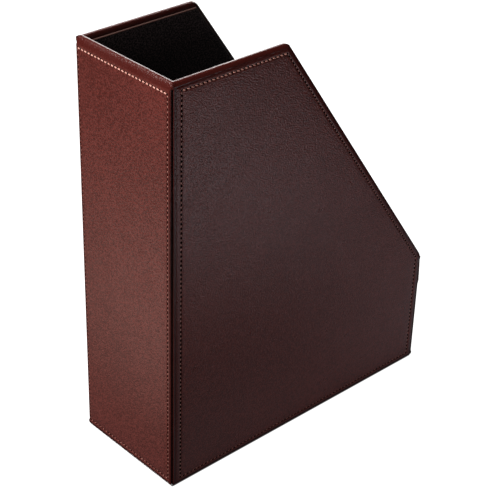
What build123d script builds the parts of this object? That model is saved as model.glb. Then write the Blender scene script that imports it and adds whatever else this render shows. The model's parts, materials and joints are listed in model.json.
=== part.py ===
from build123d import *
import math
import os

# Desktop magazine rack: an open box of thin boards in stitched leather, lined with velveteen.
# Units are millimetres. +X points to the low front, -X is the tall spine, +Z is up.
# The origin is the middle of the rectangle that the rack covers on the table.

# Overall size
overall_length = 256.0
overall_width = 99.0
overall_height = 318.0
front_height = 96.5
flat_top_length = 100.0

# Sheet thicknesses
leather_thickness = 1.2
backing_thickness = 0.8
board_thickness = 3.0
lining_thickness = 1.2
pad_thickness = 2.4

# Leather wraps
pad_stand = 1.2
crown_leather = 1.4
turn_in_depth = 11.0
turn_under_width = 9.0
top_break_radius = 7.0
plan_corner_radius = 2.4
bead_radius = 0.95
rim_flat = 0.04
groove_stop = 6.0
panel_end_setback = 1.0
corner_gap = 0.8
lining_drop = 3.6
lining_edge_radius = 0.5

# Board joints
rebate_depth = 1.0

# Stitch lines, measured from the outer edges of each panel
side_top_margin = 6.2
side_slant_margin = 5.6
side_spine_end_margin = 8.0
side_front_end_margin = 7.4
spine_side_margin = 3.9
front_side_margin = 4.4
spine_top_margin = 7.8
front_top_margin = 6.2
bottom_margin = 4.4
thread_width = 0.8
groove_depth = 0.4
groove_clearance = 0.1

# Base pad
pad_clearance = 0.3
pad_corner_radius = 3.0

# Sizes that follow from the ones above
half_length = overall_length / 2
half_width = overall_width / 2
skin_thickness = leather_thickness + backing_thickness
board_inner_depth = skin_thickness + board_thickness
rim_thickness = board_inner_depth + leather_thickness
wall_thickness = rim_thickness + lining_thickness
rim_radius = (rim_thickness - rim_flat) / 2
leather_bottom = pad_stand
board_bottom = pad_stand + leather_thickness
floor_top = board_bottom + board_thickness
backing_setback = panel_end_setback + leather_thickness + corner_gap
break_x = -half_length + flat_top_length
slope_run = half_length - break_x
slope_drop = overall_height - front_height
slope_length = math.hypot(slope_run, slope_drop)
reach = 1.0
tolerance = 0.01


def same(first, second):
    return abs(first - second) < tolerance


def block(x_low, x_high, y_low, y_high, z_low, z_high):
    centre = ((x_low + x_high) / 2, (y_low + y_high) / 2, (z_low + z_high) / 2)
    return Pos(*centre) * Box(x_high - x_low, y_high - y_low, z_high - z_low)


def slant_height(x, inset):
    """Height of the slanted edge at x, moved inwards by inset."""
    return front_height + (half_length - x) * slope_drop / slope_run - inset * slope_length / slope_run


def side_outline(x_low, x_high, z_low, top_inset, slant_inset):
    """Corners of a side panel in the X-Z plane, inset from the rack's own outline."""
    top = overall_height - top_inset
    corner_x = half_length + (slant_height(half_length, slant_inset) - top) * slope_run / slope_drop
    front_z = slant_height(x_high, slant_inset)
    return [(x_low, z_low), (x_high, z_low), (x_high, front_z), (corner_x, top), (x_low, top)]


def side_slab(points, depth_low, depth_high, break_radius=0.0):
    """A slab of the left side panel, between two depths below its outer face."""
    face = make_face(Polyline(*points, close=True))
    if break_radius > 0:
        break_x_here, break_z = points[3]
        corner = [v for v in face.vertices() if same(v.X, break_x_here) and same(v.Y, break_z)]
        face = fillet(corner, break_radius)
    plane = Plane(origin=(0, -half_width + depth_high, 0), x_dir=(1, 0, 0), z_dir=(0, -1, 0))
    return extrude(plane * face, amount=depth_high - depth_low)


def upper_edges(solid, z_low):
    """Edges that run along the top and the slant, not across the wall."""
    picked = []
    for edge in solid.edges():
        middle = edge.center()
        run = edge @ 1 - edge @ 0
        across = not same(run.Y, 0)
        upright = same(run.X, 0)
        if middle.Z > z_low and not across and not upright:
            picked.append(edge)
    return picked


def corner_wedge(z_low, z_high):
    """Space beyond the mitre plane at the left spine corner, on the spine's side of it."""
    size = wall_thickness + turn_under_width
    face = make_face(Polyline((0, 0), (0, size), (size, size), close=True))
    plane = Plane(origin=(-half_length, -half_width, z_low), x_dir=(1, 0, 0), z_dir=(0, 0, 1))
    grown = make_face(Polyline((-reach, -reach), (-reach, size), (size, size), close=True))
    return extrude(plane * (face + grown), amount=z_high - z_low)


def roll_off(x, y, radius, z_low, z_high):
    """What is rounded off an upright outer edge at x, y on the left spine quarter of the rack."""
    square = block(x - reach, x + radius, y - reach, y + radius, z_low, z_high)
    middle = Pos(x + radius, y + radius, (z_low + z_high) / 2)
    return square - middle * Cylinder(radius, z_high - z_low + reach)


def stitched_ring(outer, inner, depth_low, depth_high):
    return side_slab(outer, depth_low, depth_high) - side_slab(inner, depth_low - reach, depth_high + reach)


def side_stitch_path(spread):
    """The side panel's stitch line, moved outwards by spread."""
    spine_end = -half_length + side_spine_end_margin - spread
    front_end_x = half_length - side_front_end_margin + spread
    low = leather_bottom + bottom_margin - spread
    return side_outline(spine_end, front_end_x, low, side_top_margin - spread, side_slant_margin - spread)


def side_stitching():
    half = thread_width / 2
    return stitched_ring(side_stitch_path(half), side_stitch_path(-half), 0, groove_depth)


def side_groove():
    half = thread_width / 2 + groove_clearance
    return stitched_ring(side_stitch_path(half), side_stitch_path(-half), -reach, groove_depth)


def side_board():
    """Full-depth side board, rebated inside for the spine, front and base boards."""
    end = half_length - skin_thickness
    board = side_slab(side_outline(-end, end, board_bottom, crown_leather, crown_leather), skin_thickness,
                      board_inner_depth)
    low = -half_width + board_inner_depth - rebate_depth
    high = -half_width + board_inner_depth + reach
    under = board_bottom - reach
    board -= block(-end - reach, -end + board_thickness, low, high, under, overall_height)
    board -= block(end - board_thickness, end + reach, low, high, under, front_height - crown_leather)
    board -= block(-end - reach, end + reach, low, high, under, floor_top)
    return board


def side_backing():
    end = half_length - backing_setback
    outline = side_outline(-end, end, board_bottom, rim_radius, rim_radius)
    return side_slab(outline, leather_thickness, skin_thickness)


def side_cover():
    """Leather of one side: outer face, rounded rim, turn-in inside and turn-under below."""
    outline = side_outline(-half_length, half_length, leather_bottom, 0, 0)
    cover = side_slab(outline, 0, rim_thickness, top_break_radius)
    cover = fillet(upper_edges(cover, front_height + reach), rim_radius)
    cover += block(-half_length, half_length, -half_width, -half_width + turn_under_width, leather_bottom,
                   board_bottom)
    low_edge = [e for e in cover.edges() if same(e.center().Z, leather_bottom)
                and same(e.center().Y, -half_width)]
    cover = fillet(low_edge, bead_radius)
    cover -= corner_wedge(0, overall_height + reach)
    cover -= mirror(corner_wedge(0, front_height), Plane.YZ)
    for end in (-1, 1):
        top = overall_height if end < 0 else front_height
        ledge = top - groove_stop
        edge_x = -half_length + panel_end_setback
        cuts = block(-half_length - reach, edge_x, -half_width - reach, half_width, 0, ledge)
        cuts += roll_off(edge_x, -half_width, bead_radius, 0, ledge)
        cuts += Pos(corner_gap, 0, 0) * corner_wedge(0, ledge)
        cuts += roll_off(-half_length, -half_width, plan_corner_radius, ledge, top + wall_thickness)
        cover -= cuts if end < 0 else mirror(cuts, Plane.YZ)
    core_end = half_length - skin_thickness
    cover -= side_slab(side_outline(-core_end, core_end, board_bottom, crown_leather, crown_leather),
                       skin_thickness, board_inner_depth)
    cover -= side_backing()
    cover -= side_slab(side_outline(-half_length, half_length, board_bottom, turn_in_depth, turn_in_depth),
                       board_inner_depth, rim_thickness + reach)
    cover -= side_groove()
    return cover


def side_lining():
    """Velveteen-covered card on the inner face, with a softly rounded upper edge."""
    end = half_length - rim_thickness
    outline = side_outline(-end, end, floor_top, lining_drop, lining_drop)
    lining = side_slab(outline, rim_thickness, wall_thickness)
    return fillet(upper_edges(lining, floor_top + reach), lining_edge_radius)


def end_board(height):
    """Board of the spine or the front, let into the rebates of both side boards."""
    outer = -half_length + skin_thickness
    inner = -half_length + board_inner_depth
    half_span = half_width - board_inner_depth + rebate_depth
    board = block(outer, inner, -half_span, half_span, board_bottom, height - crown_leather)
    return board - block(inner - rebate_depth, inner + reach, -half_width, half_width, 0, floor_top)


def end_backing(height):
    half_span = half_width - backing_setback
    return block(-half_length + leather_thickness, -half_length + skin_thickness, -half_span, half_span,
                 board_bottom, height - rim_radius)


def end_stitch_ring(height, margins, spread, x_low, x_high):
    """A ring along the stitch line of the spine or the front; margins are for its sides and its top."""
    span = half_width - margins[0]
    low = leather_bottom + bottom_margin
    high = height - margins[1]
    outer = block(x_low, x_high, -span - spread, span + spread, low - spread, high + spread)
    inner = block(x_low - reach, x_high + reach, -span + spread, span - spread, low + spread, high - spread)
    return outer - inner


def end_stitching(height, margins):
    return end_stitch_ring(height, margins, thread_width / 2, -half_length, -half_length + groove_depth)


def end_cover(height, margins):
    """Leather of the spine or the front, built at the spine's end of the rack."""
    x_out = -half_length
    cover = block(x_out, x_out + rim_thickness, -half_width, half_width, leather_bottom, height)
    crown = [e for e in cover.edges().filter_by(Axis.Y) if same(e.center().Z, height)]
    cover = fillet(crown, rim_radius)
    cover += block(x_out, x_out + turn_under_width, -half_width, half_width, leather_bottom, board_bottom)
    low_edge = [e for e in cover.edges().filter_by(Axis.Y) if same(e.center().Z, leather_bottom)
                and same(e.center().X, x_out)]
    cover = fillet(low_edge, bead_radius)
    size = wall_thickness + turn_under_width
    corner = make_face(Polyline((-reach, -reach), (size, -reach), (size, size), close=True))
    plane = Plane(origin=(x_out, -half_width, 0), x_dir=(1, 0, 0), z_dir=(0, 0, 1))
    for side in (-1, 1):
        wedge = extrude(plane * corner, amount=overall_height + reach)
        wedge += Pos(0, corner_gap, 0) * extrude(plane * corner, amount=height - groove_stop)
        cover -= wedge if side < 0 else mirror(wedge, Plane.XZ)
        ledge = height - groove_stop
        edge_y = -half_width + panel_end_setback
        cuts = block(x_out - reach, 0, -half_width - reach, edge_y, 0, ledge)
        cuts += roll_off(x_out, edge_y, bead_radius, 0, ledge)
        cuts += roll_off(x_out, -half_width, plan_corner_radius, ledge, height + reach)
        cover -= cuts if side < 0 else mirror(cuts, Plane.XZ)
    board_in = x_out + board_inner_depth
    cover -= block(x_out + skin_thickness, board_in, -half_width, half_width, board_bottom,
                   height - crown_leather)
    cover -= end_backing(height)
    cover -= block(board_in, board_in + leather_thickness + reach, -half_width, half_width, board_bottom,
                   height - turn_in_depth)
    cover -= end_stitch_ring(height, margins, thread_width / 2 + groove_clearance, x_out - reach,
                             x_out + groove_depth)
    return cover


def end_lining(height):
    half_span = half_width - wall_thickness
    x_out = -half_length + rim_thickness
    lining = block(x_out, x_out + lining_thickness, -half_span, half_span, floor_top, height - lining_drop)
    crown = [e for e in lining.edges().filter_by(Axis.Y) if e.center().Z > floor_top + reach]
    return fillet(crown, lining_edge_radius)


def base_board():
    half_x = half_length - board_inner_depth + rebate_depth
    half_y = half_width - board_inner_depth + rebate_depth
    return block(-half_x, half_x, -half_y, half_y, board_bottom, floor_top)


def base_pad():
    """Felt-faced pad let in between the turned-under leather, on which the rack stands."""
    half_x = half_length - turn_under_width - pad_clearance
    half_y = half_width - turn_under_width - pad_clearance
    return extrude(RectangleRounded(2 * half_x, 2 * half_y, pad_corner_radius), amount=pad_thickness)


def floor_lining():
    half_x = half_length - wall_thickness
    half_y = half_width - wall_thickness
    return block(-half_x, half_x, -half_y, half_y, floor_top, floor_top + lining_thickness)


def opposite_side(solid):
    return mirror(solid, Plane.XZ)


def front_end(solid):
    return mirror(solid, Plane.YZ)


def build_parts():
    parts = {}
    spine_margins = (spine_side_margin, spine_top_margin)
    front_margins = (front_side_margin, front_top_margin)
    side_makers = {"board": side_board, "backing": side_backing, "cover": side_cover,
                   "lining": side_lining, "stitching": side_stitching}
    for name, make in side_makers.items():
        left = make()
        parts["left_side_" + name] = left
        parts["right_side_" + name] = opposite_side(left)
    parts["spine_board"] = end_board(overall_height)
    parts["spine_backing"] = end_backing(overall_height)
    parts["spine_cover"] = end_cover(overall_height, spine_margins)
    parts["spine_lining"] = end_lining(overall_height)
    parts["spine_stitching"] = end_stitching(overall_height, spine_margins)
    parts["front_board"] = front_end(end_board(front_height))
    parts["front_backing"] = front_end(end_backing(front_height))
    # The side boards rise past the top of the front, so its leather is cut out around them.
    front_cover = front_end(end_cover(front_height, front_margins))
    parts["front_cover"] = front_cover - parts["left_side_board"] - parts["right_side_board"]
    parts["front_lining"] = front_end(end_lining(front_height))
    parts["front_stitching"] = front_end(end_stitching(front_height, front_margins))
    parts["base_board"] = base_board()
    parts["base_pad"] = base_pad()
    parts["floor_lining"] = floor_lining()
    return parts


os.makedirs("parts", exist_ok=True)
for node, solid in build_parts().items():
    solid.label = node
    export_step(solid, f"parts/{node}.step")
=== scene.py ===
import math
import bmesh
import bpy
from mathutils import Matrix, Vector
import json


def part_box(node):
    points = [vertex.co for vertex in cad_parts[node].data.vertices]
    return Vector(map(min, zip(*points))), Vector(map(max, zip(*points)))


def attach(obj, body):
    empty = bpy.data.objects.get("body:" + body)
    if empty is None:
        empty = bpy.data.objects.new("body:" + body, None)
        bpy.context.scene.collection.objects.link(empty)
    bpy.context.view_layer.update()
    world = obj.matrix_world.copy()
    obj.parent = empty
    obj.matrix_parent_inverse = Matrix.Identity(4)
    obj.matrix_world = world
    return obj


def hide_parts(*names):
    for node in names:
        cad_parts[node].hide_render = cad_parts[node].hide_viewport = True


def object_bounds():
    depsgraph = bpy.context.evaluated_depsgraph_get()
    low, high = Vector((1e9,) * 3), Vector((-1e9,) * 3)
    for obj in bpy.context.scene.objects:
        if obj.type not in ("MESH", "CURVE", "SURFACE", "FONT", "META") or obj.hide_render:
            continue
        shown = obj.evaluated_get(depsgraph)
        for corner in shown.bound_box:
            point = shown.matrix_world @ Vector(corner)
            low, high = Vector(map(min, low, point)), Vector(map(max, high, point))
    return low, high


# Desktop magazine rack.
# All lengths are metres. X runs from the tall spine to the low front, Y across, Z up.
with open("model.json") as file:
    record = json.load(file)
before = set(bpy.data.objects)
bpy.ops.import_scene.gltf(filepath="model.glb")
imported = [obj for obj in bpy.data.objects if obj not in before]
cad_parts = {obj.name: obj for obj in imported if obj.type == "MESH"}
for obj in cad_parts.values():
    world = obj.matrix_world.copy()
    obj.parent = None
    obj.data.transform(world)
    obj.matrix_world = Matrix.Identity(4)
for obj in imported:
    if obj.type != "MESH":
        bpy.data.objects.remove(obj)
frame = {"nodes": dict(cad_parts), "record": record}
packed_low, packed_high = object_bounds()

# Boards, backing cards and base pad.
# Thin dark boards let into one another, card behind the leather, and a felt pad that it stands on.
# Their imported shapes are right, so they only get materials.


class Value:
    """One output in a material. Sums on it add the Math nodes that work them out."""

    def __init__(self, finish, socket):
        self.finish = finish
        self.socket = socket

    def math(self, operation, *values):
        return self.finish.add("ShaderNodeMath", {"operation": operation}, dict(enumerate(values)))

    def __add__(self, other):
        return self.math("ADD", self, other)

    def __radd__(self, other):
        return self.math("ADD", other, self)

    def __sub__(self, other):
        return self.math("SUBTRACT", self, other)

    def __rsub__(self, other):
        return self.math("SUBTRACT", other, self)

    def __mul__(self, other):
        return self.math("MULTIPLY", self, other)

    def __rmul__(self, other):
        return self.math("MULTIPLY", other, self)

    def __abs__(self):
        return self.math("ABSOLUTE", self)

    def at_least(self, other):
        return self.math("MAXIMUM", self, other)

    def at_most(self, other):
        return self.math("MINIMUM", self, other)

    def spread(self, low, high, new_low, new_high):
        """Maps low to new_low and high to new_high, straight between them and level past them."""
        sockets = {"Value": self, "From Min": low, "From Max": high, "To Min": new_low, "To Max": new_high}
        return self.finish.add("ShaderNodeMapRange", {}, sockets, "Result")

    def part(self, axis):
        """The X, Y or Z of a vector."""
        return self.finish.add("ShaderNodeSeparateXYZ", {}, {"Vector": self}, axis)


class Finish:
    """A material, or the studio's world, with its nodes."""

    def __init__(self, owner, shader="Principled BSDF"):
        owner.use_nodes = True
        self.owner = owner
        self.tree = owner.node_tree
        self.surface = self.tree.nodes[shader]

    def feed(self, socket, value):
        if isinstance(value, Value):
            self.tree.links.new(value.socket, socket)
        elif socket.type == "RGBA":
            socket.default_value = (*value, 1)
        else:
            socket.default_value = value

    def dress(self, sockets):
        """Feeds sockets of the surface."""
        for name, value in sockets.items():
            self.feed(self.surface.inputs[name], value)

    def add(self, kind, settings, sockets, output=0):
        """Adds a node with its settings and its sockets' values or links, and gives one output."""
        node = self.tree.nodes.new(kind)
        for name, value in settings.items():
            if name == "stops":
                stops = node.color_ramp.elements
                stops.remove(stops[1])
                stops[0].position, shade = value[0]
                stops[0].color = (shade, shade, shade, 1)
                for position, shade in value[1:]:
                    stops.new(position).color = (shade, shade, shade, 1)
            else:
                setattr(node, name, value)
        for name, value in sockets.items():
            self.feed(node.inputs[name], value)
        return Value(self, node.outputs[output])

    def place(self):
        return self.add("ShaderNodeTexCoord", {}, {}, "Object")

    def noise(self, scale, detail=3.0):
        sockets = {"Scale": scale, "Detail": detail, "Vector": self.place()}
        return self.add("ShaderNodeTexNoise", {}, sockets, "Fac")

    def blend(self, factor, first, second, kind="MIX"):
        settings = {"data_type": "RGBA", "blend_type": kind}
        return self.add("ShaderNodeMix", settings, {"Factor": factor, "A": first, "B": second}, "Result")

    def bump(self, height, strength, distance, coarser=None):
        """Raises the surface by a pattern, on top of a coarser bump if one is given."""
        sockets = {"Strength": strength, "Distance": distance, "Height": height}
        if coarser:
            sockets["Normal"] = coarser
        return self.add("ShaderNodeBump", {}, sockets, "Normal")


def dress_nodes(slot, finish):
    """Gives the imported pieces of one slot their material."""
    for entry in frame["record"]["subparts"]:
        if entry["material_slot"] == slot:
            materials = frame["nodes"][entry["node"]].data.materials
            materials.clear()
            materials.append(finish.owner)


lighter = 1.3
for slot, colour in (("board", (0.012, 0.008, 0.006)), ("card", (0.012, 0.010, 0.009)),
                     ("felt", (0.004, 0.004, 0.004))):
    hidden = Finish(bpy.data.materials.new(slot))
    fleck = tuple(level * lighter for level in colour)
    hidden.dress({"Base Color": hidden.blend(hidden.noise(400.0), colour, fleck), "Roughness": 0.9})
    dress_nodes(slot, hidden)

# Leather, which covers every outer face.
# A satin dark brown hide with slow changes of tone, a pebbled grain and a slightly uneven sheen. Each panel's
# "edge" value is 0 at its edge, 1 in the stitch groove and more past it. It is below 0 on its inside, where
# it paints shade, and on the mitre faces, where it paints them black as the shadow in the corner gap.
leather = Finish(bpy.data.materials.new("leather"))
cloud = leather.noise(9.0, 4.0).spread(0.35, 0.65, 0.0, 0.3)
grain = leather.noise(900.0, 2.0).spread(0.36, 0.64, -0.25, 1.0)
dark_hide = (0.072, 0.0135, 0.0105)
pale_hide = (0.160, 0.0340, 0.0270)
hide = leather.blend(cloud + grain, dark_hide, pale_hide)
edge_value = leather.add("ShaderNodeAttribute", {"attribute_name": "edge"}, {}, "Fac")
# The rims and rolled edges are painted darker as painted shade, and painted shade darkens the creases and the
# stitch groove.
rim_shade_colour = (0.074, 0.0105, 0.0078)
rim_shaded_hide = leather.blend(edge_value.spread(0.56, 0.85, 0.0, 1.0), rim_shade_colour, hide)
# Painted shade: the ramp darkens the outer line, the valley inside each edge roll and the stitch groove.
crease_shade_stops = ((0.0, 0.8), (0.10, 0.95), (0.18, 1.0), (0.27, 0.9), (0.33, 0.35), (0.40, 0.35), (0.46, 0.9),
                (0.72, 1.0), (0.88, 0.95), (1.0, 1.0), (1.0, 0.5))
painted_crease_shade = leather.add("ShaderNodeValToRGB", {"stops": crease_shade_stops}, {"Fac": edge_value}, "Color")
crease_shade_factor = painted_crease_shade.at_least(edge_value.spread(1.0, 1.12, 0.0, 1.0))
crease_shaded_hide = leather.blend(1.0, rim_shaded_hide, crease_shade_factor, "MULTIPLY")
painted_gap_shadow = (0.0010, 0.0006, 0.0005)
grain_height = 0.0003
pebbles = {"Scale": 1100.0, "Vector": leather.place()}
pebble = leather.add("ShaderNodeTexVoronoi", {"feature": "SMOOTH_F1"}, pebbles, "Distance")
coarse = leather.bump(leather.noise(130.0, 4.0), 0.25, grain_height)
# Below 0 the colour turns to painted shade on the inside faces and to a black painted shadow on the mitre
# faces of the corner gap.
leather.dress({
    "Base Color": leather.blend(edge_value.spread(-1.0, -0.3, 0.0, 1.0), painted_gap_shadow, crease_shaded_hide),
    "Roughness": leather.noise(60.0).spread(0.3, 0.7, 0.27, 0.35),
    "Specular Tint": (1.0, 0.82, 0.78),
    "Normal": leather.bump(pebble, 0.9, grain_height, coarse),
})

# Leather panels: the two sides, the spine and the low front.
# Each is one piece of hide over card, rolled over the rim in a half round, turned under the base and
# mitred at the corners. The inside below the turn-in is left open, because boards and lining fill it.

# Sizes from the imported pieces, to the micrometre.
half_length, half_width, full_height = (round(size, 6) for size in packed_high)
front_height = round(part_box("front_cover")[1][2], 6)
panel_low = round(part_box("front_cover")[0][2], 6)
board_low = round(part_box("base_board")[0][2], 6)
panel_depth = round(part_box("spine_lining")[0][0] + half_length, 6)
turn_under = round(half_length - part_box("front_cover")[0][0], 6)
# Sizes of the leather's own shape.
turn_in = 0.011
rim_radius = 0.00305
plan_radius = 0.0024
plan_steps = 4
base_radius = 0.0042
# Width of a rounding and its number of facets.
foot_round = (0.0014, 3)
break_round = (0.0038, 5)
edge_round = (0.0012, 5)
rim_round = (rim_radius, 8)
# The mitred corners stand a little apart, and close at the rim and at the base.
corner_gap = 0.0008
base_gap = 0.0003
rim_close = 0.0040
base_close = 0.0015
# Half the length of a mitre cutter, and how far it starts past the face and ends past the rim.
mitre_reach = 0.03
past_face = 0.001
past_rim = 0.02
# Limits that tell borders, points and sharp edges apart.
well_clear = 0.01
hairline = 0.0001
tolerance = 0.00002
sharp_angle = 0.5
smooth_angle = math.radians(40)
# Edge values that paint shade on the rim, shade on the inside and a black shadow on the mitres.
rim_shade_mark = 0.58
inside_shade_mark = -0.7
gap_shadow_mark = -1
inside_depth = 0.0045
rim_share = 0.6
# Distance of the stitch line from the base, and from the other edges of each panel.
base_margin = 0.00435
side_ends = (0.0080, 0.0074)
spine_ends = (0.0030, 0.0047)
front_ends = (0.0044, 0.0044)
side_top_margin = 0.0063
spine_top_margin = 0.0080
slant_margin = 0.0055
# Height of a face in millimetres, against the distance from its edge as a share of the stitch margin.
millimetre = 0.001
groove_profile = ((0.94, -0.25), (1.0, -0.42), (1.06, -0.25), (1.14, -0.02), (1.3, 0.08), (2.4, 0.18))
face_profile = ((0.0, -0.10), (0.22, 0.05), (0.30, -0.12), (0.37, -0.32), (0.44, -0.14), (0.52, 0.06),
                (0.64, 0.15), (0.80, 0.12), (0.88, -0.02)) + groove_profile
# Below a rim the leather rolls back to the crown in one curve instead, and only its groove is pressed.
rim_profile = ((0.0, 0.0), (0.50, 0.0), (0.60, 0.0), (0.72, 0.0), (0.86, 0.0)) + groove_profile
roll_share = 0.90
roll_length = 1.8
roll_power = 2.2


def activate(piece):
    bpy.ops.object.select_all(action="DESELECT")
    piece.select_set(True)
    bpy.context.view_layer.objects.active = piece


def box_piece(name, low, high):
    bpy.ops.object.select_all(action="DESELECT")
    bpy.ops.mesh.primitive_cube_add(size=1)
    piece = bpy.context.object
    piece.name = name
    piece.location = [(a + b) / 2 for a, b in zip(low, high)]
    piece.scale = [b - a for a, b in zip(low, high)]
    bpy.ops.object.transform_apply(location=True, rotation=True, scale=True)
    return piece


def cut_plane(point, normal, remove=True):
    bpy.ops.mesh.select_all(action="SELECT")
    bpy.ops.mesh.bisect(plane_co=point, plane_no=normal, use_fill=remove, clear_outer=remove)


def pick(kind, test):
    """Selects the edges or faces of the piece in edit mode that pass the test."""
    bpy.ops.mesh.select_all(action="DESELECT")
    bpy.ops.mesh.select_mode(type="EDGE" if kind == "edges" else "FACE")
    mesh = bmesh.from_edit_mesh(bpy.context.object.data)
    for item in getattr(mesh, kind):
        item.select = test(item)
    mesh.select_flush_mode()
    bmesh.update_edit_mesh(bpy.context.object.data)


def near(value, target):
    return abs(value - target) < tolerance


def flat_at(face, depth):
    return all(near(corner.co.y, depth) for corner in face.verts)


def through(edge):
    """The edge runs straight through the panel from its outer face to its inner one."""
    first, second = edge.verts
    return near(first.co.x, second.co.x) and near(first.co.z, second.co.z)


def round_over(test, rounding):
    """Rounds the edges that pass the test."""
    pick("edges", test)
    bpy.ops.mesh.bevel(offset=rounding[0], segments=rounding[1], profile=0.5, affect="EDGES")


def score(depth, spot, normal):
    """Draws a line across the flat face at this depth."""
    pick("faces", lambda face: flat_at(face, depth))
    bpy.ops.mesh.bisect(plane_co=spot, plane_no=normal)


def carve(piece, cutter):
    activate(piece)
    tool = piece.modifiers.new("cut", "BOOLEAN")
    tool.operation = "DIFFERENCE"
    tool.solver = "EXACT"
    tool.object = cutter
    bpy.ops.object.modifier_apply(modifier=tool.name)
    bpy.data.objects.remove(cutter)


def rough_panel(name, half_span, height, slant):
    """The slab with its foot, the breaks of its slant and its rims rounded."""

    def at_foot(edge):
        return through(edge) and near(edge.verts[0].co.z, panel_low)

    def at_break(edge):
        spot = edge.verts[0].co
        at_height = near(spot.z, height) or near(spot.z, front_height)
        return through(edge) and at_height and spot.x > -half_span + well_clear

    def at_rim(edge):
        first, second = edge.verts
        lengthwise = not near(first.co.x, second.co.x) and near(first.co.y, second.co.y)
        return lengthwise and first.co.z > panel_low + well_clear

    piece = box_piece(name, (-half_span, 0, panel_low), (half_span, panel_depth, height))
    activate(piece)
    bpy.ops.object.mode_set(mode="EDIT")
    if slant:
        cut_plane(slant[0], -slant[1])
    round_over(at_foot, foot_round)
    if slant:
        round_over(at_break, break_round)
    round_over(at_rim, rim_round)
    bpy.ops.object.mode_set(mode="OBJECT")
    return piece


def cut_mitres(piece, half_span, tops, slant):
    """Cuts both ends to 45 degrees."""
    for end, top in zip((-1, 1), tops):
        close_top = top - rim_close
        close_low = panel_low + base_close
        above = top if slant and end > 0 else top + past_rim
        for inset, low, high in ((0, close_top, above), (corner_gap, close_low, close_top),
                                 (base_gap, -well_clear, close_low)):
            mitre = box_piece("mitre", (-mitre_reach, -past_face, low), (mitre_reach, mitre_reach, high))
            activate(mitre)
            bpy.ops.object.mode_set(mode="EDIT")
            cut_plane((0, 0, 0), Vector((-end, -1, 0)).normalized())
            bpy.ops.object.mode_set(mode="OBJECT")
            mitre.location.x = end * (half_span - inset)
            bpy.ops.object.transform_apply(location=True, rotation=True, scale=True)
            carve(piece, mitre)


def open_inside(rims):
    """Opens the inside between the turned-under strip and the turn-in, and draws out the strip."""

    def in_opening(face):
        middle = face.calc_center_median()
        below_turn_in = all((middle - point).dot(inward) > turn_in for point, inward, margin in rims)
        return flat_at(face, panel_depth) and middle.z > board_low and below_turn_in

    score(panel_depth, (0, 0, board_low), (0, 0, 1))
    for point, inward, margin in rims:
        score(panel_depth, point + inward * turn_in, inward)
    pick("faces", in_opening)
    bpy.ops.mesh.delete(type="FACE")
    pick("faces", lambda face: flat_at(face, panel_depth) and face.calc_center_median().z < board_low)
    draw_out = (0, turn_under - panel_depth, 0)
    bpy.ops.mesh.extrude_region_move(TRANSFORM_OT_translate={"value": draw_out})
    bpy.ops.mesh.select_all(action="SELECT")
    bpy.ops.mesh.remove_doubles(threshold=tolerance)


def round_corners(spot, half_span, foot):
    """Rounds the outer corners, seen from above at the rim and seen from the front at the base."""
    middle = Vector((math.copysign(half_span - plan_radius, spot.x), plan_radius))
    away = spot.xy - middle
    by_corner = abs(spot.x) > half_span - plan_radius and spot.y < plan_radius
    if spot.z > foot - 2 * hairline and by_corner and away.length > plan_radius:
        spot.xy = middle + away.normalized() * plan_radius
    middle = Vector((math.copysign(half_span - base_radius, spot.x), panel_low + base_radius))
    away = spot.xz - middle
    by_corner = abs(spot.x) > half_span - base_radius and spot.z < panel_low + base_radius
    if by_corner and away.length > base_radius:
        spot.xz = middle + away.normalized() * base_radius


def profile_height(profile, share):
    for (a, low), (b, high) in zip(profile, profile[1:]):
        if share <= b:
            return (low + (high - low) * (share - a) / (b - a)) * millimetre
    return profile[-1][1] * millimetre


def roll(share):
    """Depth of the rim's curve as a share of its depth at the crown."""
    return 1 - (1 - (1 - share / roll_length) ** roll_power) ** (1 / roll_power)


def press_face(piece, half_span, feet, others, rims):
    """Gives each point its edge value, and presses the roll, the groove and the padding into the face."""

    def least_share(borders):
        return min((spot - point).dot(inward) / margin for point, inward, margin in borders)

    edge = piece.data.attributes.new("edge", "FLOAT", "POINT")
    for vertex in piece.data.vertices:
        spot = vertex.co
        mark = edge.data[vertex.index]
        round_corners(spot, half_span, feet[spot.x > 0])
        to_rim = least_share(rims)
        to_other = least_share(others)
        by_rim = to_rim < to_other
        share = max(min(to_rim, to_other), 0)
        on_face = near(spot.y, 0)
        # The rim's mark paints shade on the rims, the inside's mark paints shade on the turn-in, and the
        # mitre faces' mark paints them black as the shadow in the corner gap.
        if on_face:
            mark.value = max(share, rim_shade_mark) if by_rim else share
        elif spot.y > inside_depth:
            mark.value = inside_shade_mark
        elif to_rim < rim_share:
            mark.value = rim_shade_mark
        if spot.y > past_face and abs(half_span - corner_gap - abs(spot.x) - spot.y) < hairline:
            mark.value = gap_shadow_mark
        if spot.y < rim_radius and by_rim and share < roll_share:
            spot.y = rim_radius * (roll(share) - roll(roll_share)) / (1 - roll(roll_share))
        elif on_face:
            spot.y -= profile_height(rim_profile if by_rim else face_profile, share)


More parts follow.
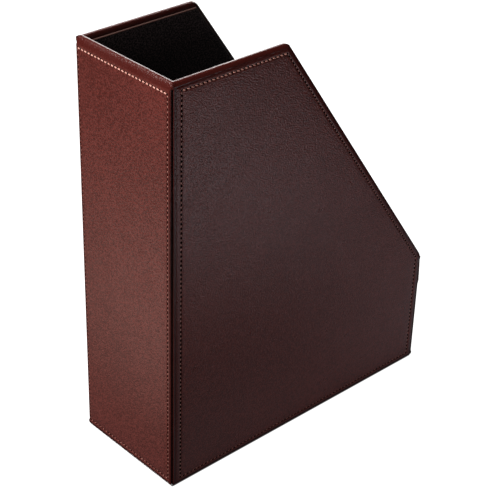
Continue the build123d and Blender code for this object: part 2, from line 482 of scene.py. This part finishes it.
def leather_panel(name, half_span, height, end_margins, top_margin, slant=None):
    """A panel that faces -Y with its outer face at y = 0.

    Each border is a point on it, the direction inwards and its stitch margin, and a slant is one too.
    """
    others = [(Vector((0, 0, panel_low)), Vector((0, 0, 1)), base_margin),
              (Vector((-half_span, 0, 0)), Vector((1, 0, 0)), end_margins[0]),
              (Vector((half_span, 0, 0)), Vector((-1, 0, 0)), end_margins[1])]
    rims = [(Vector((0, 0, height)), Vector((0, 0, -1)), top_margin)]
    if slant:
        rims.append(slant)
    # Heights at the left end and at the right end.
    tops = [height, front_height if slant else height]
    feet = [top - rim_close + hairline for top in tops]

    def outer_corner(edge):
        at_corner = all(near(corner.co.y, 0) and corner.co.z < feet[corner.co.x > 0] for corner in edge.verts)
        return at_corner and edge.calc_face_angle(0) > sharp_angle

    piece = rough_panel(name, half_span, height, slant)
    cut_mitres(piece, half_span, tops, slant)
    activate(piece)
    bpy.ops.object.mode_set(mode="EDIT")
    round_over(outer_corner, edge_round)
    for end in (-1, 1):
        for step in range(1, plan_steps + 1):
            inset = plan_radius * step / plan_steps
            cut_plane((end * (half_span - inset), 0, 0), (1, 0, 0), remove=False)
    # Lines across the face where the edge roll, the stitch groove and the padding begin.
    for borders, profile in ((others, face_profile), (rims, rim_profile)):
        for point, inward, margin in borders:
            for share, rise in profile[1:]:
                score(0, point + inward * margin * share, inward)
    open_inside(rims)
    bpy.ops.object.mode_set(mode="OBJECT")
    press_face(piece, half_span, feet, others, rims)
    activate(piece)
    bpy.ops.object.shade_smooth_by_angle(angle=smooth_angle)
    piece.data.materials.append(leather.owner)
    return piece


def finish_panel(piece, turn, shift, node):
    """Turns and moves a piece from its panel's own place to its face of the rack."""
    activate(piece)
    piece.rotation_euler.z = turn
    piece.location = shift
    bpy.ops.object.transform_apply(location=True, rotation=True, scale=True)
    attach(piece, "root")
    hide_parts(node)


# A side's upper edge is level from the spine to the slant's start, and then drops to the low front.
slant_start = -0.028
slant_rise = (full_height - front_height) / (half_length - slant_start)
slant = (Vector((slant_start, 0, full_height)), -Vector((slant_rise, 0, 1)).normalized(), slant_margin)
left = leather_panel("left_side_leather", half_length, full_height, side_ends, side_top_margin, slant)
bpy.ops.object.duplicate()
right = bpy.context.object
right.name = "right_side_leather"
right.scale.y = -1
bpy.ops.object.transform_apply(location=True, rotation=True, scale=True)
bpy.ops.object.mode_set(mode="EDIT")
bpy.ops.mesh.select_all(action="SELECT")
bpy.ops.mesh.flip_normals()
bpy.ops.object.mode_set(mode="OBJECT")
finish_panel(left, 0, (0, -half_width, 0), "left_side_cover")
finish_panel(right, 0, (0, half_width, 0), "right_side_cover")
spine = leather_panel("spine_leather", half_width, full_height, spine_ends, spine_top_margin)
finish_panel(spine, -math.pi / 2, (-half_length, 0, 0), "spine_cover")
front = leather_panel("front_leather", half_width, front_height, front_ends, side_top_margin)
finish_panel(front, math.pi / 2, (half_length, 0, 0), "front_cover")

# Stitching: one closed line of pale red thread on each panel.
# Every stitch is a short bead that leans a little, with a near-black disc between it and the next one as the
# painted shade in its hole.
stitch_pitch = 0.0035
stitch_size = (0.0027, 0.0011, 0.00095)
hole_depth = 0.0003
low_row = panel_low + base_margin
thread = Finish(bpy.data.materials.new("thread"))
thread.dress({"Base Color": thread.blend(thread.noise(300.0), (0.48, 0.190, 0.145), (0.85, 0.430, 0.340)),
              "Roughness": 0.28})
# Painted shade: a near-black disc sits in each stitch hole.
hole_shade = Finish(bpy.data.materials.new("stitch hole shadow"))
hole_shade.dress({"Base Color": (0.002, 0.001, 0.001), "Roughness": 1.0, "Specular IOR Level": 0.0})


def stitch_row(start, end):
    """Stitches from start to end in a panel that faces -Y, with its face at y = 0.

    A row below a rim lies less deep in the leather than the others, with smaller holes and more lean.
    """
    start = Vector(start)
    run = Vector(end) - start
    count = max(2, round(run.length / stitch_pitch))
    step = run / count
    under_rim = abs(run.z) < abs(run.x) and not near(start.z, low_row)
    sink = -0.0001 if under_rim else 0.00076
    hole_radius = 0.0007 if under_rim else 0.0009
    lean = 0.26 if under_rim else 0.16
    bpy.ops.object.select_all(action="DESELECT")
    bpy.ops.mesh.primitive_uv_sphere_add(segments=8, ring_count=6, radius=0.5)
    piece = bpy.context.object
    piece.scale = stitch_size
    piece.rotation_euler.y = lean
    bpy.ops.object.transform_apply(location=True, rotation=True, scale=True)
    bpy.ops.mesh.primitive_cylinder_add(vertices=10, radius=hole_radius, depth=hole_depth,
                                        rotation=(math.pi / 2, 0, 0),
                                        location=(stitch_pitch / 2, hole_depth - sink, 0))
    hole = bpy.context.object
    for mesh in (piece.data, hole.data):
        mesh.materials.append(thread.owner)
        mesh.materials.append(hole_shade.owner)
    for face in hole.data.polygons:
        face.material_index = 1
    bpy.ops.object.transform_apply(location=True, rotation=True, scale=True)
    activate(piece)
    hole.select_set(True)
    bpy.ops.object.join()
    piece.rotation_euler.y = -math.atan2(step.z, step.x)
    piece.location = start + step / 2 + Vector((0, sink, 0))
    bpy.ops.object.transform_apply(location=True, rotation=True, scale=True)
    row = piece.modifiers.new("row", "ARRAY")
    row.count = count
    row.use_relative_offset = False
    row.use_constant_offset = True
    row.constant_offset_displace = step
    bpy.ops.object.modifier_apply(modifier=row.name)
    return piece


def stitch_ring(name, corners, turn, shift, node):
    rows = [stitch_row(a, b) for a, b in zip(corners, corners[1:] + corners[:1])]
    activate(rows[0])
    for row in rows[1:]:
        row.select_set(True)
    bpy.ops.object.join()
    ring = bpy.context.object
    ring.name = name
    bpy.ops.object.shade_smooth()
    finish_panel(ring, turn, shift, node)


def square_ring(half_span, height, end_margins, top_margin):
    """The corners of the stitch line of a panel without a slant."""
    first = end_margins[0] - half_span
    last = half_span - end_margins[1]
    top = height - top_margin
    return [(first, 0, low_row), (last, 0, low_row), (last, 0, top), (first, 0, top)]


# A side's slanted row lies at its margin from the slant, and meets the top row and the front's row.
spine_row_x = side_ends[0] - half_length
front_row_x = half_length - side_ends[1]
top_row_z = full_height - side_top_margin
slant_drop = slant_margin * math.hypot(slant_rise, 1)
top_meeting_x = slant_start + (side_top_margin - slant_drop) / slant_rise
front_meeting_z = front_height + slant_rise * side_ends[1] - slant_drop
side_corners = [(spine_row_x, 0, low_row), (front_row_x, 0, low_row), (front_row_x, 0, front_meeting_z),
                (top_meeting_x, 0, top_row_z), (spine_row_x, 0, top_row_z)]
flipped = [(-x, y, z) for x, y, z in side_corners]
spine_corners = square_ring(half_width, full_height, spine_ends, spine_top_margin)
front_corners = square_ring(half_width, front_height, front_ends, side_top_margin)
stitch_ring("left_side_stitches", side_corners, 0, (0, -half_width, 0), "left_side_stitching")
stitch_ring("right_side_stitches", flipped, math.pi, (0, half_width, 0), "right_side_stitching")
stitch_ring("spine_stitches", spine_corners, -math.pi / 2, (-half_length, 0, 0), "spine_stitching")
stitch_ring("front_stitches", front_corners, math.pi / 2, (half_length, 0, 0), "front_stitching")

# Velveteen lining, glued to the inside of the walls and to the floor.
# A very dark pile with paler tufts. A pale band painted just below the rims stands in for the highlight on
# its upper edge. The packed shapes are right, so it only gets its material.
pile_height = 0.0003
velveteen = Finish(bpy.data.materials.new("velveteen"))
place = velveteen.place()
rim_line = (full_height - slant_rise * (place.part("X") - slant_start)).at_most(full_height)
# Painted highlight: a pale band just below the rim line stands for light on the lining's upper edge.
painted_edge_highlight = (rim_line - place.part("Z")).spread(0.0040, 0.0047, 1.0, 0.0)
tuft = velveteen.noise(900.0).spread(0.42, 0.64, 0.0, 1.0)
pile = velveteen.blend(tuft, (0.0040, 0.0028, 0.0030), (0.075, 0.050, 0.050))
velveteen.dress({
    "Base Color": velveteen.blend(painted_edge_highlight, pile, (0.110, 0.052, 0.042)),
    "Roughness": 0.95,
    "Specular IOR Level": 0.1,
    "Sheen Weight": 0.2,
    "Sheen Roughness": 0.4,
    "Normal": velveteen.bump(velveteen.noise(2500.0), 0.3, pile_height),
})
dress_nodes("lining", velveteen)

# Studio: a pale floor that keeps the shadow and looks white, and a white surround for the camera only.
# Mirrored rays and all other rays meet a dark room and a floor that glows in a shaped pattern, a painted
# light that lights the leather and that it mirrors as its soft sheen.
bpy.ops.object.select_all(action="DESELECT")
bpy.ops.mesh.primitive_plane_add(size=8)
floor = bpy.context.object
floor.name = "floor"
ground = Finish(bpy.data.materials.new("floor"))
ground.dress({"Base Color": (0.8, 0.8, 0.8), "Roughness": 1.0, "Specular IOR Level": 0.0})
place = ground.place()
east = place.part("X")
north = place.part("Y")
along = abs(east)
aside = abs(north)
distance = ground.add("ShaderNodeVectorMath", {"operation": "LENGTH"}, {0: place}, "Value")
past_base = (along - half_length).at_least(aside - half_width)
# The white glow is cut off under the rack, which paints the dark contact line below the leather's lower edge
# as partly painted shadow; there the floor shows its real shadow.
whiteness = past_base.spread(-0.0012, -0.0006, 0.0, 0.7)
matt = Value(ground, ground.surface.outputs["BSDF"])
white = ground.add("ShaderNodeEmission", {}, {"Color": (1, 1, 1), "Strength": 1.6})
shown = ground.add("ShaderNodeMixShader", {}, {"Fac": whiteness, 1: matt, 2: white})
# The painted floor glow that the near side mirrors: some by the base, most further out, and less past the
# front.
by_base = east.spread(0.05, 0.24, 0.0, 0.18) + aside.spread(0.12, 0.20, 0.18, 0.02)
further_out = aside.spread(0.27, 0.38, 0.0, 1.75)
beyond_side = (by_base + further_out) * east.spread(0.25, 0.42, 1.0, 0.12)
# The painted floor glow that the spine mirrors is brightest in the middle of its height and towards the near
# corner.
mid_height = along.spread(0.16, 0.30, 0.06, 0.66) * along.spread(0.38, 0.48, 1.0, 0.25)
beyond_spine = mid_height * north.spread(0.05, 0.45, 1.95, 0.15)
by_spine = east.spread(-0.15, -0.12, 1.0, 0.0)
floor_glow_strength = beyond_spine * by_spine + beyond_side * (1 - by_spine)
fading = distance.spread(0.55, 0.75, 1.0, 0.4) * distance.spread(0.75, 1.0, 1.0, 0.02)
# A wedge of the floor in front of the near corner is dark, so the rolled edges there stay dark too.
near_corner = (-half_length, -half_width, 0)
from_corner = ground.add("ShaderNodeVectorMath", {"operation": "SUBTRACT"}, {0: place, 1: near_corner})
outward = ground.add("ShaderNodeVectorMath", {"operation": "NORMALIZE"}, {0: from_corner})
past_wedge = outward.part("X").spread(0.15, 0.50, 0.12, 1.0).at_least(
    outward.part("Y").spread(0.38, 0.62, 0.1, 1.0))
floor_glow_strength = floor_glow_strength * past_base.spread(0.0, 0.012, 0.4, 1.0) * fading * past_wedge
floor_glow_colour = ground.blend(by_spine, (0.93, 0.96, 1.06), (1.02, 0.95, 0.86))
# Painted light: the floor emits this glow for every ray but the camera's.
glow = ground.add("ShaderNodeEmission", {}, {"Color": floor_glow_colour, "Strength": floor_glow_strength})
seen = ground.add("ShaderNodeLightPath", {}, {}, "Is Camera Ray")
mixed = ground.add("ShaderNodeMixShader", {}, {"Fac": seen, 1: glow, 2: shown})
ground.feed(ground.tree.nodes["Material Output"].inputs["Surface"], mixed)
floor.data.materials.append(ground.owner)
room = Finish(bpy.data.worlds.new("studio"), "Background")
seen = room.add("ShaderNodeLightPath", {}, {}, "Is Camera Ray")
room.dress({"Color": room.blend(seen, (0.01, 0.01, 0.01), (1, 1, 1))})
bpy.context.scene.world = room.owner
# Each lamp: name, place, width, height and watts. All look at the middle of the rack.
lamps = (("top", (-0.3, 0.1, 1.3), 0.25, 0.25, 2.2), ("left", (-1.15, 0.25, 1.25), 0.9, 0.9, 32.5),
         ("front", (-0.6, -1.5, 0.45), 0.8, 0.8, 4.1), ("back", (1.1, 1.15, 0.60), 1.2, 1.3, 21.0))
lamp_target = Vector((0, 0, 0.16))
for name, spot, width, height, watts in lamps:
    bpy.ops.object.select_all(action="DESELECT")
    bpy.ops.object.light_add(type="AREA", location=spot)
    lamp = bpy.context.object
    lamp.name = name + "_light"
    lamp.data.shape = "RECTANGLE"
    lamp.data.size = width
    lamp.data.size_y = height
    lamp.data.energy = watts
    lamp.rotation_euler = (Vector(spot) - lamp_target).to_track_quat("Z", "Y").to_euler()

# Camera, matched to the photo's perspective.
# It looks down on the near corner of the spine. Its distance and shifts are in units of fitted_height.
azimuth = math.radians(-43.389)
elevation = math.radians(31.248)
tilt = math.radians(1.841)
fitted_height = 0.3168
away = 3.4453
shift_left = 0.0291
shift_down = 0.0867
aim_height = 0.1596
back = Vector((math.sin(azimuth) * math.cos(elevation), -math.cos(azimuth) * math.cos(elevation),
               math.sin(elevation)))
sideways = Vector((math.cos(azimuth), math.sin(azimuth), 0))
rise = back.cross(sideways)
across = sideways * math.cos(tilt) + rise * math.sin(tilt)
upward = rise * math.cos(tilt) - sideways * math.sin(tilt)
camera_place = (back * away - across * shift_left - upward * shift_down) * fitted_height
camera_place.z += aim_height
bpy.ops.object.select_all(action="DESELECT")
bpy.ops.object.camera_add()
camera = bpy.context.object
camera.data.lens = 106.9
camera.data.sensor_width = 36.0
rows = [(across[i], upward[i], back[i], camera_place[i]) for i in range(3)]
camera.matrix_world = Matrix(rows + [(0, 0, 0, 1)])
bpy.context.scene.camera = camera
bpy.context.scene.view_settings.view_transform = "Standard"
